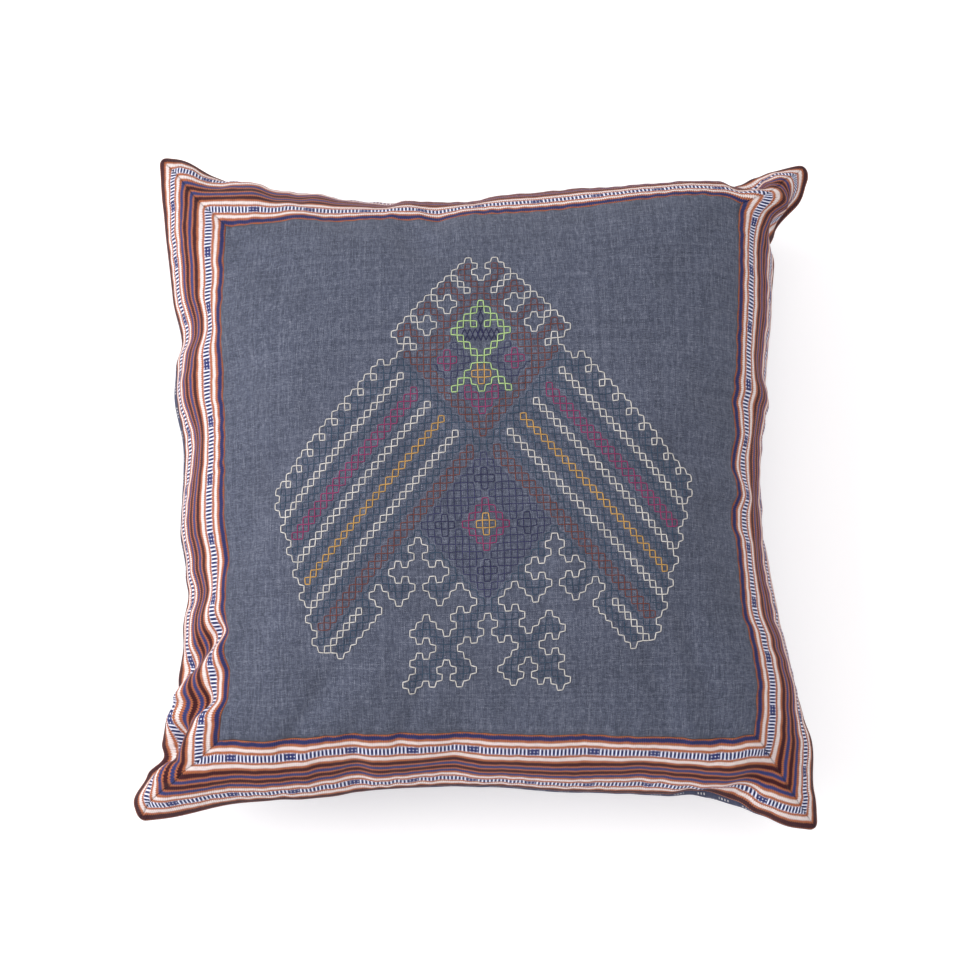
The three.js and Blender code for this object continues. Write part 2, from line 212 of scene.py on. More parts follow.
ROLLS = [  # where the outer edge is rolled under: side, middle along it, half its length, then in millimetres the
    # cloth rolled, how far in it reaches, and how far the seam drops; last, the share of cloth let out for it
    ("top", -162, 36, 14, 11, 5, 0.7), ("right", 199, 18, 60, 24, 9, 0.7), ("bottom", 166, 26, 8, 11, 3, 0.7),
    ("right", 30, 60, 4, 11, 1.5, 0.7),
]
OUTWARD = {"left": (-1, 0), "right": (1, 0), "top": (0, 1), "bottom": (0, -1)}


def waves(side, column, along):
    """A column of a side's table at any place along it: half a cosine wave from each row to the next."""
    rows = np.array([(-HALF_COVER, 0, 0, 0, 0), *SIDES[side], (HALF_COVER, 0, 0, 0, 0)], float)
    before = np.clip(np.searchsorted(rows[:, 0], along, side="right") - 1, 0, len(rows) - 2)
    part = (along - rows[before, 0]) / (rows[before + 1, 0] - rows[before, 0])
    share = (1 - np.cos(np.pi * np.clip(part, 0, 1))) / 2
    return rows[before, column] + (rows[before + 1, column] - rows[before, column]) * share


def sides_at(u, v):
    """For each side: its name, the distance from its seam, and the place along it."""
    for side, (x, y) in OUTWARD.items():
        yield side, HALF_COVER - (x * u + y * v), v if x else u


def edge_distance(u, v):
    """The distance from the nearest seam."""
    return HALF_COVER - np.maximum(abs(u), abs(v))


def bell(distance):
    """1 at no distance, fading to both sides: exp(-distance^2)."""
    return np.exp(-(distance**2))


print({side: len(rows) for side, rows in SIDES.items()}, "rows for the sides")

# %% [markdown]
# ## The filled form
#
# A cross-section through the middle is an oval whose rise is sqrt(1 - across^3): full on top and steep at the
# sides. Stepping along it evenly by length, and not by width, is what keeps the cloth from stretching. The two
# cross-sections' rises r and s are joined as r s / (r + s - r s), which is full in the middle and runs out to the
# seam on every side, so four pointed ears are left at the corners. Last, the tables move the outer seam and the
# panel's seam a little, and at three sides the edge rolls under.


# %% The filled form in numpy
def cross_section(half_width, height, steps=300):
    """Half a section as three columns: share of the cloth's length, share of the width, share of the height."""
    across = np.sin(np.linspace(0, np.pi / 2, steps + 1))
    rise = np.sqrt(np.maximum(0, 1 - across**3))
    length = np.concatenate([[0], np.cumsum(np.hypot(np.diff(across) * half_width, np.diff(rise) * height))])
    return length / length[-1], across, rise


SECTIONS = {
    (face, axis): cross_section(WAIST[axis], height)
    for face, height in ((FRONT, CROWN), (BACK, BELLY))
    for axis in (0, 1)
}


def over_corners(a, b, key):
    """A value of the four corners, spread over the cover in straight proportion."""
    return sum(corner[key] * (1 + side * a) / 2 * (1 + end * b) / 2 for (side, end), corner in CORNERS.items())


def rounded_tips(u, v):
    """The cloth's corners sewn round: within TIP_RADIUS of both sides, a square (p, q) is squeezed into a quarter
    disc, p to p sqrt(1 - q^2 / 2) and q to q sqrt(1 - p^2 / 2)."""
    start = HALF_COVER - TIP_RADIUS
    p, q = (np.maximum(0, (abs(t) - start) / TIP_RADIUS) for t in (u, v))
    return [
        np.sign(t) * (np.minimum(abs(t), start) + TIP_RADIUS * own * np.sqrt(1 - other * other / 2))
        for t, own, other in ((u, p, q), (v, q, p))
    ]


def rolled_under(side, from_seam, along, face):
    """How far a rolled edge moves outwards and down. In front, the cloth is let out by ROLL_EASE's wide bell, and its
    outer strip is drawn back in by a narrow one, so that the seam ends up under the edge; the back just follows."""
    shift, drop = 0.0, 0.0
    for name, middle, half, cloth, reach, down, let_out in ROLLS:
        if name == side:
            here = bell((along - middle) / half)
            narrow, wide = bell(from_seam / reach), bell(from_seam / ROLL_EASE)
            shift = shift + here * cloth * (let_out * wide - (narrow if face == FRONT else wide))
            drop = drop + here * down * narrow
    return shift, drop


def filled_form(flat_u, flat_v, face):
    """Where the filled cover carries the cloth's point (u, v), without folds, in millimetres.

    x = waist * section * (1 - b^2) + tip * a b^2 + shoulder + pull, and y likewise; then each side's seam moves in
    or out by its table, fading as exp(-(distance / reach)^2)."""
    u, v = rounded_tips(flat_u, flat_v)
    a, b = u / HALF_COVER, v / HALF_COVER
    corner_share = (a * b) ** 2
    shoulder = corner_share * (1 - a**4) * (1 - b**4) * SHOULDER
    pull = PULL_PEAK * corner_share * (1 - a * a) * (1 - b * b)
    place, rises = [], []
    for axis, (own, other, flat, tip) in enumerate(((a, b, flat_u, "x"), (b, a, flat_v, "y"))):
        length, across, rise = SECTIONS[face, axis]
        section = np.sign(own) * np.interp(abs(own), length, across)
        at_tips = over_corners(a, b, tip) * own * other * other
        place.append(WAIST[axis] * section * (1 - other * other) + at_tips + shoulder * np.sign(own))
        rises.append(np.interp(abs(flat) / HALF_COVER, length, rise))
        for (side, end), corner in CORNERS.items():
            place[axis] = place[axis] + pull * (side * a > 0) * (end * b > 0) * corner["pull"][axis]
    rise_x, rise_y = rises
    rise = rise_x * rise_y / np.maximum(1e-9, rise_x + rise_y - rise_x * rise_y)
    rise = rise * (1 - EAR_SLACK * corner_share**2)
    seam_height = SEAM_HEIGHT + over_corners(a, b, "lift") * corner_share**2
    for side, from_seam, along in sides_at(u, v):
        rolled, dropped = rolled_under(side, from_seam, along, face)
        at_panel = (from_seam - BORDER) / np.where(from_seam > BORDER, PANEL_PULL, BORDER_PULL)
        stands_out = waves(side, 1, along) * bell(from_seam / TUCK_REACH)
        stands_out = stands_out + waves(side, 4, along) * bell(at_panel) + rolled
        if face == BACK:
            depth = from_seam / PEEK_DEPTH
            stands_out = stands_out + waves(side, 3, along) * depth * np.exp(1 - depth)
        place = [coordinate + way * stands_out for coordinate, way in zip(place, OUTWARD[side])]
        seam_height = seam_height - dropped
    edge = EDGE - (EDGE - SEAM_EDGE) * bell(edge_distance(flat_u, flat_v) / EDGE_REACH)
    if face == FRONT:
        z = seam_height + edge + CROWN * rise
    else:
        hang = seam_height - edge - BELLY * rise
        z = np.maximum(0, (hang + np.sqrt(hang**2 + REST_ROUND**2)) / 2 - REST_SINK)
    return np.stack([PANEL_MIDDLE[0] + place[0], PANEL_MIDDLE[1] + place[1], z], axis=-1)


middle = filled_form(np.zeros(1), np.zeros(1), FRONT)[0]
print("crown at", middle.round(1), "mm")

# %% [markdown]
# ## Folds, seams and puckers
#
# On the real cover the corners are pinched, one deep fold runs down the left side, and the cloth creases softly
# where the panel's corners pull. A fold is a line in the flat cloth with a bell-shaped dip across it. A seam draws
# the cloth down into a narrow groove, and a side that is shorter when filled than when flat puckers across it. All
# of it moves the surface along its own outward direction.

# %% Folds
FOLDS = [  # name, from (u, v), to (u, v), width, depth; a ridge has a negative depth
    ("left side, upper crease", (-248, -142), (-196, -108), 8, 7),
    ("left side, ridge under the upper crease", (-236, -156), (-192, -124), 9, -5),
    ("left side, lower crease at the seam", (-250, -208), (-232, -186), 9, 9),
    ("left side, lower crease inwards", (-232, -186), (-210, -158), 8, 6),
    ("left side, ridge under the lower crease", (-226, -212), (-200, -172), 11, -5),
    ("left side, swell between the creases", (-241, -172), (-236, -152), 13, -4),
    ("top right corner, pinch at the side", (250, 183), (224, 192), 12, 5),
    ("top right corner, pinch at the top", (203, 250), (205, 226), 12, 5),
    ("top right corner, ridge to the tip", (198, 198), (226, 226), 15, -3),
    ("bottom right corner, tuck", (176, -250), (206, -206), 13, 6),
    ("bottom left corner, ridge to the tip", (-204, -204), (-228, -228), 15, -3),
    ("panel, lower left crease", (-136, -192), (-90, -124), 9, 3),
    ("panel, lower left swell", (-112, -192), (-72, -140), 11, -2),
    ("panel, low crease", (-58, -194), (-42, -150), 8, 2),
    ("panel, lower right crease", (162, -188), (138, -112), 10, 2.5),
    ("panel, lower right inner crease", (128, -186), (112, -134), 9, 2),
    ("panel, upper left crease", (-186, 184), (-140, 132), 12, 2),
    ("panel, upper right crease", (186, 180), (136, 120), 12, 2),
]


def fold_relief(u, v):
    """The folds' height: each is -depth * exp(-(distance to its line / width)^2)."""
    height = np.zeros_like(u)
    for _, start, end, width, depth in FOLDS:
        run = np.subtract(end, start).astype(float)
        share = np.clip(((u - start[0]) * run[0] + (v - start[1]) * run[1]) / (run @ run), 0, 1)
        away = np.hypot(u - start[0] - share * run[0], v - start[1] - share * run[1])
        height = height - depth * bell(away / width)
    return height


print(len(FOLDS), "folds")

# %% Seams and puckers
PANEL_SEAM, MITRE_SEAM = (0.9, 2.2), (0.8, 1.8)  # depth and width
MITRE_STARTS = 3  # how far beyond the panel's seam the mitre's groove is full
PUCKERS = 9  # waves a side
PUCKER_LENGTHS, PUCKER_HEIGHTS, PUCKER_SLANT = (9, 26), (0.1, 0.34), 0.35
SEAM_PUCKERS_REACH, PANEL_PUCKERS_REACH, PANEL_PUCKERS_SHARE = 16, 9, 0.5


def seam_relief(u, v):
    """The grooves of the panel's seam and of the mitres: -depth * exp(-(distance / width)^2)."""
    beyond = np.maximum(abs(u), abs(v)) - HALF_PANEL
    panel = -PANEL_SEAM[0] * bell(beyond / PANEL_SEAM[1])
    mitre = -MITRE_SEAM[0] * bell((abs(u) - abs(v)) / MITRE_SEAM[1] / math.sqrt(2))
    return panel + mitre * (beyond > 0) * (1 - bell(beyond / MITRE_STARTS))


def pucker_relief(u, v):
    """Small cross folds at the outer seam and the panel's seam: sums of sine waves along the side, which fade as
    exp(-distance / reach) and exp(-(distance / reach)^2)."""
    height = np.zeros_like(u)
    for number, (_, from_seam, along) in enumerate(sides_at(u, v)):
        random = np.random.default_rng(40 + number)
        for _ in range(PUCKERS):
            length, phase, size = (random.uniform(*ends) for ends in (PUCKER_LENGTHS, (0, 2 * np.pi), PUCKER_HEIGHTS))
            slant = random.uniform(-PUCKER_SLANT, PUCKER_SLANT) * from_seam
            wave = size * np.sin(2 * np.pi * (along + slant) / length + phase)
            at_seam = np.exp(-from_seam / SEAM_PUCKERS_REACH)
            at_panel = PANEL_PUCKERS_SHARE * bell((from_seam - BORDER) / PANEL_PUCKERS_REACH)
            height = height + wave * (at_seam + at_panel)
    return height


def border_relief(u, v):
    """The border's own long waves, highest a little inside the seam."""
    return sum(
        waves(side, 2, along) * bell((from_seam - BAND_MIDDLE) / BAND_SPREAD)
        for side, from_seam, along in sides_at(u, v)
    )


def relief(u, v):
    """All of the front's relief."""
    return border_relief(u, v) + fold_relief(u, v) + seam_relief(u, v) + pucker_relief(u, v)


def outward(surface, u, v, step=1.0):
    """The unit direction a surface over the flat cloth faces: the cross product of its slopes along u and v."""

    def clip(t):
        return np.clip(t, -HALF_COVER, HALF_COVER)

    along_u = surface(clip(u + step), v) - surface(clip(u - step), v)
    along_v = surface(u, clip(v + step)) - surface(u, clip(v - step))
    normal = np.cross(along_u, along_v)
    return normal / np.maximum(1e-9, np.linalg.norm(normal, axis=-1, keepdims=True))


def front_form(u, v):
    return filled_form(u, v, FRONT)


def back_form(u, v):
    return filled_form(u, v, BACK)


print("deepest groove on the panel's seam:", PANEL_SEAM[0], "mm")

# %% [markdown]
# ## Making meshes from grids
#
# A grid of points becomes a mesh of squares. Front and back are two grids that share their outer ring of points at
# the seam. The cloth's own coordinates go into a UV map, in metres, so that stripes and weave follow the cloth over
# every fold. foreach_set writes whole arrays at once.


# %% Grid helpers
def squares_of(rows, columns):
    """The corner numbers of a grid's squares, counter-clockwise when rows cross columns upwards."""
    i, j = np.meshgrid(np.arange(rows - 1), np.arange(columns - 1), indexing="ij")
    first = (i * columns + j).ravel()
    return np.stack([first, first + columns, first + columns + 1, first + 1], axis=-1)


def sewn_grids(grid_u, grid_v):
    """Two square grids sewn at their outer ring: each point's number once the ring is shared, the points that are
    used, and the squares by the used points' order."""
    count = len(grid_u)
    square = squares_of(count, count)
    number = np.arange(2 * count * count)
    rim = edge_distance(grid_u, grid_v).ravel() < 1e-6
    number[count * count :][rim] = number[: count * count][rim]
    used, faces = np.unique(number[np.concatenate([square, square[:, ::-1] + count * count])], return_inverse=True)
    return number, used, faces.reshape(-1, 4)


def make_piece(name, points, faces, uv, material):
    """A smooth mesh object of points in millimetres, with a UV map from one (u, v) per point."""
    mesh = bpy.data.meshes.new(name)
    mesh.from_pydata((points * MM).tolist(), [], list(faces))
    corner_points = np.zeros(len(mesh.loops), np.int32)
    mesh.loops.foreach_get("vertex_index", corner_points)
    layer = mesh.uv_layers.new(name="cloth")
    layer.data.foreach_set("uv", np.ascontiguousarray(uv[corner_points] * MM, np.float32).ravel())
    mesh.polygons.foreach_set("use_smooth", np.ones(len(mesh.polygons), bool))
    mesh.materials.append(material)
    mesh.update()
    return put(name, mesh)


def thicken(piece, thickness):
    """A sheet's thickness, inwards from the face that shows."""
    solid = piece.modifiers.new("cloth_thickness", "SOLIDIFY")
    solid.thickness = thickness * MM
    solid.offset = -1
    solid.use_even_offset = False


print("grid helpers ready")

# %% [markdown]
# ## Letting the filled cover settle
#
# The formulas give the main form, but not the small buckles that real cloth gets where it has to be shorter than it
# was cut. So a coarse closed cover is blown up as cloth: its springs want their flat lengths, and air pressure
# inside pushes it outwards. Only how far each point then stands out of the average round it is kept, up to a cap. So
# the buckles stay, and the measured form and outline don't drift. They are a grid of heights over (u, v).

# %% Simulating the settling
SETTLE_STEPS = 76
SETTLE_CAP = 2.0  # millimetres
SETTLE_FRAMES = 20
CLOTH_LIKE = dict(
    quality=6, mass=0.2, tension_stiffness=12, compression_stiffness=12, shear_stiffness=4, bending_stiffness=0.4,
    use_pressure=True, uniform_pressure_force=4.0,
)
STARTS_SMALLER = 0.985
AVERAGE_OVER, SMOOTH_OVER = 6, 1  # grid steps each way


def settling_body(flat_u, flat_v):
    """A closed body, a little smaller than the filled form, whose shape key holds the flat cloth; also the filled
    points, their numbers and those used."""
    number, used, faces = sewn_grids(flat_u, flat_v)
    filled = np.concatenate([filled_form(flat_u, flat_v, face).reshape(-1, 3) for face in (FRONT, BACK)])
    middle = filled.mean(axis=0)
    smaller = (middle + (filled - middle) * STARTS_SMALLER) * MM
    mesh = bpy.data.meshes.new("settling")
    mesh.from_pydata(smaller[used].tolist(), [], faces.tolist())
    body = put("settling", mesh)
    flat = np.stack([flat_u, flat_v, np.zeros_like(flat_u)], axis=-1).reshape(-1, 3)
    body.shape_key_add(name="filled")
    key = body.shape_key_add(name="flat")
    key.data.foreach_set("co", (np.concatenate([flat, flat])[used] * MM).astype(np.float32).ravel())
    return body, filled, number, used


def smoothed(heights, steps):
    """The average of a grid over a square window, with its edge rows repeated outwards."""
    width = 2 * steps + 1
    for axis in (0, 1):
        beyond = [(steps + 1, steps) if way == axis else (0, 0) for way in (0, 1)]
        total = np.cumsum(np.pad(heights, beyond, mode="edge"), axis)
        last, first = (np.take(total, range(start, total.shape[axis] - width + start), axis) for start in (width, 0))
        heights = (last - first) / width
    return heights


def settle():
    """Runs the cloth and returns how far both faces stand out, as (face, row, column) in millimetres."""
    spots = np.linspace(-HALF_COVER, HALF_COVER, SETTLE_STEPS + 1)
    flat_u, flat_v = np.meshgrid(spots, spots, indexing="ij")
    body, filled, number, used = settling_body(flat_u, flat_v)
    cloth = body.modifiers.new("cloth", "CLOTH")
    for name, value in CLOTH_LIKE.items():
        setattr(cloth.settings, name, value)
    cloth.settings.rest_shape_key = body.data.shape_keys.key_blocks["flat"]
    cloth.settings.effector_weights.gravity = 0
    cloth.point_cache.frame_start, cloth.point_cache.frame_end = 1, SETTLE_FRAMES
    for step in range(1, SETTLE_FRAMES + 1):
        bpy.context.scene.frame_set(step)
    now = body.evaluated_get(bpy.context.evaluated_depsgraph_get()).to_mesh()
    places = np.zeros(3 * len(now.vertices), np.float32)
    now.vertices.foreach_get("co", places)
    bpy.data.objects.remove(body)
    bpy.context.scene.frame_set(1)
    settled = np.zeros_like(filled)
    settled[used] = places.reshape(-1, 3) / MM
    moves = (settled[number] - filled).reshape(2, SETTLE_STEPS + 1, SETTLE_STEPS + 1, 3)
    print("moved by up to", np.linalg.norm(moves, axis=-1).max().round(1), "mm before the average is taken off")
    facing = np.stack([outward(front_form, flat_u, flat_v), -outward(back_form, flat_u, flat_v)])
    heights = (moves * facing).sum(axis=-1)
    heights = np.stack([smoothed(face - smoothed(face, AVERAGE_OVER), SMOOTH_OVER) for face in heights])
    return SETTLE_CAP * np.tanh(heights / SETTLE_CAP)


small_heights = settle()
print("kept heights: mean", abs(small_heights).mean().round(2), "mm, most", abs(small_heights).max().round(2), "mm")

# %% The cloth as it is seen
BORDER_KEEPS = 0.3  # share of the settled height that is kept at the outer seam
SEAM_STIFFENS = 8  # millimetres in from the seam that its turnings keep straight
REST_FADE = 20  # millimetres above the floor


def cubic(d):
    """The weight of a grid point at a distance of d steps: (2 - 5 d^2 + 3 d^3) / 2 up to 1, and from there to 2
    (4 - 8 d + 5 d^2 - d^3) / 2."""
    return np.where(d <= 1, (2 - 5 * d**2 + 3 * d**3) / 2, (4 - 8 * d + 5 * d**2 - d**3) / 2)


def settling(u, v, face):
    """The settled height at any (u, v), by a smooth cubic over 4 points of the grid each way."""
    heights = small_heights[0 if face == FRONT else 1]
    columns, weights = [], []
    for t in (u, v):
        place = (t / HALF_COVER + 1) / 2 * SETTLE_STEPS
        base = np.clip(np.floor(place).astype(int), 0, SETTLE_STEPS - 1)
        steps = [base + k for k in range(-1, 3)]
        weights.append([cubic(abs(place - step)) for step in steps])
        columns.append([np.clip(step, 0, SETTLE_STEPS) for step in steps])
    return sum(
        weights[0][i] * weights[1][j] * heights[columns[0][i], columns[1][j]] for i in range(4) for j in range(4)
    )


def off_the_seam(u, v):
    """0 at the outer seam, 1 further in."""
    return 1 - bell(edge_distance(u, v) / SEAM_STIFFENS)


def front_cloth(u, v):
    """The front as it is seen: the filled form, its relief and the settling, along its outward direction. Towards
    the seam less of the settling is kept, because the border's waves and folds are already in the relief."""
    kept = BORDER_KEEPS + (1 - BORDER_KEEPS) * np.clip(edge_distance(u, v) / BORDER, 0, 1)
    height = (relief(u, v) + settling(u, v, FRONT) * kept) * off_the_seam(u, v)
    return front_form(u, v) + outward(front_form, u, v) * height[..., None]


def back_cloth(u, v):
    """The back: its form and the settling, which fades out where it rests on the floor."""
    form = back_form(u, v)
    height = settling(u, v, BACK) * off_the_seam(u, v) * np.clip(form[..., 2] / REST_FADE, 0, 1)
    return form - outward(back_form, u, v) * height[..., None]


print("front and back ready")

# %% [markdown]
# ## Cloth materials
#
# Cloth is dull and a little fuzzy at grazing angles, so each material is a rough surface with some sheen. Its
# colour and its bump come from patterns on the cloth's own coordinates. What leaves a node is wrapped as a wire, and
# a sum written with wires makes the math nodes for it, so that a pattern reads like a formula.


# %% Node helpers
def operator(operation, turned=False):
    """A sum of two terms, the first one a wire, as the math node for it."""
    return lambda wire, other: maths(operation, *((other, wire) if turned else (wire, other)))


class Wire:
    """What leaves a node, with sums that make math nodes. % is the remainder; > and < give 1 or 0."""

    def __init__(self, socket):
        self.socket, self.node, self.tree = socket, socket.node, socket.id_data

    __add__, __sub__, __rsub__ = operator("ADD"), operator("SUBTRACT"), operator("SUBTRACT", turned=True)
    __mul__, __truediv__, __mod__ = operator("MULTIPLY"), operator("DIVIDE"), operator("FLOORED_MODULO")
    __gt__, __lt__ = operator("GREATER_THAN"), operator("LESS_THAN")


def add(tree, kind, inputs=(), output=0, **settings):
    """A node with its settings, and its inputs by name or number: a wire is linked, anything else is a value."""
    node = tree.nodes.new(kind)
    for name, value in settings.items():
        setattr(node, name, value)
    for name, value in dict(inputs).items():
        if isinstance(value, Wire):
            tree.links.new(value.socket, node.inputs[name])
        else:
            node.inputs[name].default_value = value
    return Wire(node.outputs[output])


def maths(operation, *terms):
    """A math node on wires and numbers."""
    tree = next(term.tree for term in terms if isinstance(term, Wire))
    return add(tree, "ShaderNodeMath", dict(enumerate(terms)), operation=operation)


def sine(place, length=1.0):
    """A sine wave that repeats every length."""
    return maths("SINE", place * (2 * math.pi / length))


def spread(wire, low, high, to_low, to_high):
    """A range from low to high, moved to another one."""
    return add(wire.tree, "ShaderNodeMapRange", {0: wire, 1: low, 2: high, 3: to_low, 4: to_high})


def choose(share, first, second):
    """Two numbers mixed by a share."""
    return add(share.tree, "ShaderNodeMix", {0: share, 2: first, 3: second})


def blend_colour(share, first, second):
    """Two colours mixed by a share."""
    return add(share.tree, "ShaderNodeMix", {0: share, 6: first, 7: second}, 2, data_type="RGBA")


def toned(colour, tone):
    """A colour times a number."""
    return add(tone.tree, "ShaderNodeVectorMath", {0: colour, 3: tone}, operation="SCALE")


def colour_ramp(place, stops, interpolation="LINEAR"):
    """The colour at a place, from a list of places and colours."""
    wire = add(place.tree, "ShaderNodeValToRGB", {0: place})
    ramp = wire.node.color_ramp
    ramp.interpolation = interpolation
    ramp.elements.remove(ramp.elements[-1])
    for number, (stop, colour) in enumerate(stops):
        element = ramp.elements.new(stop) if number else ramp.elements[0]
        element.position, element.color = stop, colour
    return wire


def noise(x, y, detail=2.0, roughness=0.5):
    """Noise over two coordinates, about one step wide."""
    place = add(x.tree, "ShaderNodeCombineXYZ", {0: x, 1: y})
    return add(x.tree, "ShaderNodeTexNoise", {"Vector": place, "Scale": 1.0, "Detail": detail, "Roughness": roughness})


def streaks(u, v, size):
    """Noise stretched along the threads: so many millimetres along u and along v."""
    return noise(u / size[0], v / size[1])


def cloth_coordinates(tree):
    """The cloth's own u and v in millimetres, from the UV map."""
    place = add(tree, "ShaderNodeUVMap", uv_map="cloth")
    in_mm = add(tree, "ShaderNodeVectorMath", {0: place, 3: 1 / MM}, operation="SCALE")
    apart = add(tree, "ShaderNodeSeparateXYZ", {0: in_mm}).node
    return Wire(apart.outputs[0]), Wire(apart.outputs[1])


def cloth_surface(name, roughness, sheen=0.06):
    """A material with a rough, slightly fuzzy surface, its node tree, and the surface node."""
    material = bpy.data.materials.new(name)
    material.use_nodes = True
    tree = material.node_tree
    surface = tree.nodes["Principled BSDF"]
    fill_in(surface, {"Roughness": roughness, "Specular IOR Level": 0.25})
    fill_in(surface, {"Sheen Weight": sheen, "Sheen Roughness": 0.5})
    return material, tree, surface


def finish_cloth(surface, colour, height, depth):
    """Joins the colour and the bump, its depth in millimetres, to the surface."""
    tree = colour.tree
    bump = add(tree, "ShaderNodeBump", {"Strength": 1.0, "Distance": depth * MM, "Height": height})
    tree.links.new(colour.socket, surface.inputs["Base Color"])
    tree.links.new(bump.socket, surface.inputs["Normal"])


print("node helpers ready")

# %% [markdown]
# ## Slub-woven panel cloth
#
# The panel is a plain weave of blue-grey yarns that are uneven: a yarn swells and thins along its run, and some
# yarns are paler or darker than the rest. Each yarn gets a number, from its place across the cloth, and noise that
# runs along it from a start of its own. At each crossing either the warp or the weft lies on top, as on a
# chessboard, so the cloth shows fine broken streaks both ways.

# %% Yarns
YARN_APART, YARN_STEP = 90, 0.37  # how far apart two yarns read the noise: at most along it, and each time across
YARN_DYE = 0.12  # how much one yarn's shade differs from the next
SLUB_HEIGHT = 1.2


def yarns(across, along, pitch, slub):
    """For one set of yarns: a yarn's number, its rounded profile across (0 to 1), and its shade along its run."""
    place = across / pitch
    number = maths("FLOOR", place)
    profile = maths("SINE", maths("FRACT", place) * math.pi)
    start = add(across.tree, "ShaderNodeTexWhiteNoise", {1: number}, noise_dimensions="1D")
    shade = noise(along / slub + start * YARN_APART, number * YARN_STEP, 3.0, 0.62)
    return number, profile, (start - 0.5) * YARN_DYE + shade


def plain_weave(u, v, pitch, slub_u, slub_v):
    """Plain weave of uneven yarns: its shade, about 0.5 on average, and its height."""
    warp, warp_profile, warp_shade = yarns(u, v, pitch, slub_v)
    weft, weft_profile, weft_shade = yarns(v, u, pitch, slub_u)
    over = (warp + weft) % 2
    shade = choose(over, weft_shade, warp_shade)
    return shade, choose(over, weft_profile, warp_profile) + shade * SLUB_HEIGHT


print("plain weave ready")

# %% Panel cloth
PANEL_THREAD = 0.58  # millimetres from yarn to yarn
PANEL_SLUBS = (3.6, 7.0)  # millimetres along u and v, as for all streaks
PANEL_SHADES = [(0.24, (0.022, 0.027, 0.045, 1)), (0.5, (0.080, 0.090, 0.134, 1)), (0.76, (0.235, 0.25, 0.32, 1))]
PANEL_FADED = (30.0, 44.0)

panel_cloth, tree, surface = cloth_surface("slub_panel_cloth", roughness=0.9)
u, v = cloth_coordinates(tree)
shade, height = plain_weave(u, v, PANEL_THREAD, *PANEL_SLUBS)
faded = spread(streaks(u, v, PANEL_FADED), 0.3, 0.7, 0.93, 1.07)
finish_cloth(surface, toned(colour_ramp(shade, PANEL_SHADES), faded), height, depth=0.11)
print("panel cloth:", PANEL_THREAD, "mm yarns")

# %% [markdown]
# ## Striped band cloth
#
# The frame is cut from a narrow warp-striped band: stripes of rust, off-white, maroon and blue run along each
# strip, and two of them are ladders, white with blue bars across and a dotted blue block now and then. A colour
# ramp read across the strip holds the stripes, as the warp on the loom does. The weft crosses them about every
# millimetre and a half, which leaves the stripes' edges finely toothed.

# %% The order of the stripes, from the panel outwards, and their colours
RUST, NAVY, WHITE = (0.42, 0.125, 0.052, 1), (0.022, 0.028, 0.115, 1), (0.80, 0.69, 0.68, 1)
MAROON, BLUE, LADDER = (0.045, 0.005, 0.010, 1), (0.032, 0.042, 0.16, 1), (0.80, 0.81, 0.96, 1)
BAR_NAVY, BLOCK_BLUE = (0.016, 0.021, 0.105, 1), (0.022, 0.031, 0.145, 1)
STRIPES = [  # colour and share of the width
    (RUST, 1.5), (NAVY, 4.4), (RUST, 2.9), (WHITE, 4.0), (RUST, 3.2), (LADDER, 8.6), (RUST, 3.0), (WHITE, 4.6),
    (RUST, 3.0), (MAROON, 4.8), (RUST, 2.3), (BLUE, 4.3), (RUST, 2.3), (MAROON, 4.7), (RUST, 2.3), (BLUE, 4.3),
    (RUST, 3.2), (WHITE, 4.4), (RUST, 3.3), (LADDER, 8.3), (RUST, 3.2), (WHITE, 4.2), (RUST, 3.0), (MAROON, 5.8),
    (RUST, 1.0),
]
stripe_ends = np.concatenate([[0], np.cumsum([width for _, width in STRIPES])])
stripe_ends /= stripe_ends[-1]
stripe_stops = [(start, stripe) for (stripe, _), start in zip(STRIPES, stripe_ends)]
LADDER_INSET = 0.004  # share of the width that a ladder's bars stay in from its edges
YES, NO = (1, 1, 1, 1), (0, 0, 0, 1)
ladder_stops = [(0, NO)]
for (stripe, _), start, end in zip(STRIPES, stripe_ends, stripe_ends[1:]):
    if stripe == LADDER:
        ladder_stops += [(start + LADDER_INSET, YES), (end - LADDER_INSET, NO)]
print(len(STRIPES), "stripes over", BORDER, "mm")

# %% Band cloth
WEFT, RIB = 1.5, 0.7  # millimetres from weft to weft, and from warp to warp
TOOTH, WANDER = 0.45, 1.7  # millimetres that the stripes' edges sway, with the weft and at random
BAR, BLOCK, BLOCK_EVERY = 2.7, 6.6, 42.0  # millimetres from bar to bar, a block's length, and from block to block
BAR_FROM = -0.25  # of the sine over a bar and a gap: a little more bar than gap
DOTS, DOT_FROM = 2.5, 0.5  # white dots in the blue block: millimetres apart, and the sine where one begins
WANDER_STREAKS, WORN_STREAKS = (9.0, 30.0), (3.0, 0.8)

band_cloth, tree, surface = cloth_surface("striped_band_cloth", roughness=0.84)
u, v = cloth_coordinates(tree)
weft = sine(u, WEFT)
across = (v + (weft * TOOTH + (streaks(u, v, WANDER_STREAKS) - 0.5) * WANDER)) / BORDER
ladder = colour_ramp(across, ladder_stops, "CONSTANT")
along_block = u % BLOCK_EVERY
in_block = along_block < BLOCK
dots = (sine(along_block, DOTS) > DOT_FROM) * (sine(v, DOTS) > DOT_FROM)
bars = sine(along_block, BAR) > BAR_FROM
colour = blend_colour(bars * ladder, colour_ramp(across, stripe_stops, "CONSTANT"), BAR_NAVY)
colour = blend_colour(in_block * ladder, colour, BLOCK_BLUE)
colour = blend_colour(dots * in_block * ladder, colour, LADDER)
worn = spread(streaks(u, v, WORN_STREAKS), 0.3, 0.7, 0.85, 1.15)
# the colour follows the weft's ribs, lighter on their crests and darker between them: painted shade from the same sine
# as the bump; worn is random tone
colour = toned(colour, spread(weft, -1, 1, 0.84, 1.12) * worn)
finish_cloth(surface, colour, weft * 0.7 + sine(v, RIB) * 0.3, depth=0.2)
print("band cloth: weft every", WEFT, "mm, ladder bars every", BAR, "mm")

